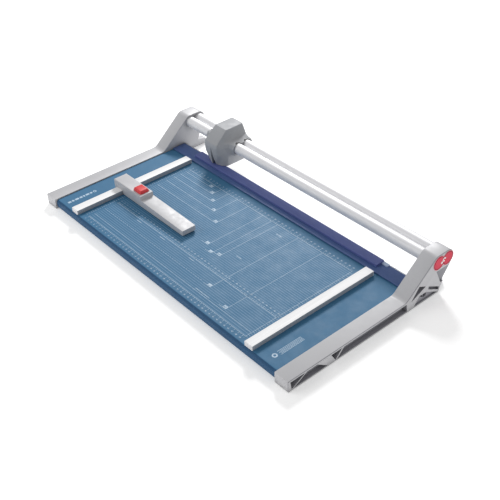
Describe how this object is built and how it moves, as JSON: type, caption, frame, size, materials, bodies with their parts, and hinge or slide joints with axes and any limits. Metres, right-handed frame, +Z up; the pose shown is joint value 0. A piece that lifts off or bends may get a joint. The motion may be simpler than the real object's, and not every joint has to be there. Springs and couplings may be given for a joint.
{
  "type": "rotary paper trimmer",
  "caption": "Rotary paper trimmer with a printed table, a clamp strip, stop rails with a sliding back stop, and a cutting head that runs along twin guide tubes.",
  "frame": {"origin": "middle of the bounding box on the surface the rubber feet stand on", "axes": "+X to the right along the cutting line, +Y from the front lip back to the guide tubes, +Z up"},
  "size_m": [0.7308, 0.393, 0.1065],
  "materials": {
    "cast_grey": "satin",
    "cap_red": "gloss",
    "tube_metal": "polished",
    "fastener_steel": "satin",
    "table_blue": "satin",
    "beam_steel": "satin",
    "blade_steel": "ground",
    "foot_rubber": "matte",
    "rail_white": "satin",
    "rail_cap_white": "matte",
    "clear_strip": "gloss",
    "clamp_violet": "gloss",
    "pale_tab": "matte",
    "post_metal": "satin",
    "cup_plastic": "matte",
    "spring_steel": "satin",
    "stop_grey": "matte",
    "button_red": "gloss",
    "shoe_rubber": "matte",
    "head_grey": "matte",
    "lid_grey": "matte",
    "bush_black": "matte",
    "hub_black": "matte",
    "roller_rubber": "matte"
  },
  "bodies": {
    "frame": {"left_end_piece": "cast_grey", "right_end_piece": "cast_grey", "left_end_cap": "cap_red", "right_end_cap": "cap_red", "front_guide_tube": "tube_metal", "rear_guide_tube": "tube_metal", "guide_tube_inserts": "fastener_steel", "guide_tube_screws": "fastener_steel", "table_plate": "table_blue", "front_cross_beam": "beam_steel", "rear_cross_beam": "beam_steel", "cross_beam_screws": "fastener_steel", "counter_blade": "blade_steel", "counter_blade_screws": "fastener_steel", "rubber_feet": "foot_rubber", "left_stop_rail": "rail_white", "right_stop_rail": "rail_white", "stop_rail_end_caps": "rail_cap_white", "stop_rail_screws": "fastener_steel", "clamp_spring_cups": "cup_plastic"},
    "clamp": {"clamp_strip": "clear_strip", "clamp_bar": "clamp_violet", "clamp_end_tab": "pale_tab", "clamp_posts": "post_metal", "clamp_springs": "spring_steel"},
    "backstop": {"backstop_body": "stop_grey", "backstop_bottom_cover": "cup_plastic", "backstop_cover_screws": "fastener_steel", "backstop_button_spring": "spring_steel"},
    "release_button": {"backstop_button": "button_red"},
    "lock_shoe": {"backstop_lock_shoe": "shoe_rubber"},
    "head": {"head_housing": "head_grey", "head_rear_lid": "lid_grey", "head_lid_screws": "fastener_steel", "left_glide_bush": "bush_black", "right_glide_bush": "bush_black", "blade_axle": "post_metal", "axle_spacer": "fastener_steel", "axle_retaining_clip": "fastener_steel", "blade_thrust_spring": "spring_steel"},
    "blade": {"circular_blade": "blade_steel", "blade_hub": "hub_black"},
    "roller": {"clamp_roller": "roller_rubber", "roller_bush": "bush_black"}
  },
  "joints": [
    {"name": "clamp_press", "type": "slide", "parent": "frame", "child": "clamp", "axis": [0, 0, -1], "range_m": [0, 0.0005], "stiffness_N_per_m": 8000, "springref_m": -0.0005, "deforming": ["clamp_springs"]},
    {"name": "backstop_slide", "type": "slide", "parent": "frame", "child": "backstop", "axis": [0, 1, 0], "range_m": [-0.106, 0.146]},
    {"name": "button_press", "type": "slide", "parent": "backstop", "child": "release_button", "axis": [0, 0, -1], "range_m": [0, 0.0025], "stiffness_N_per_m": 800, "springref_m": -0.001, "deforming": ["backstop_button_spring"]},
    {"name": "lock_shoe_slide", "type": "slide", "parent": "backstop", "child": "lock_shoe", "axis": [1, 0, 0], "range_m": [0, 0.0015]},
    {"name": "head_slide", "type": "slide", "parent": "frame", "child": "head", "axis": [1, 0, 0], "range_m": [-0.075, 0.5005]},
    {"name": "blade_spin", "type": "hinge", "parent": "head", "child": "blade", "pos_m": [-0.2128, 0.1418, 0.0379], "axis": [0, 1, 0], "continuous": true},
    {"name": "roller_spin", "type": "hinge", "parent": "head", "child": "roller", "pos_m": [-0.2128, 0.1418, 0.0379], "axis": [0, 1, 0], "continuous": true}
  ],
  "couplings": [
    {"joint": "lock_shoe_slide", "follows": "button_press", "ratio": 0.6},
    {"joint": "blade_spin", "follows": "head_slide", "rad_per_m": 55.556},
    {"joint": "roller_spin", "follows": "head_slide", "rad_per_m": 116.96}
  ]
}
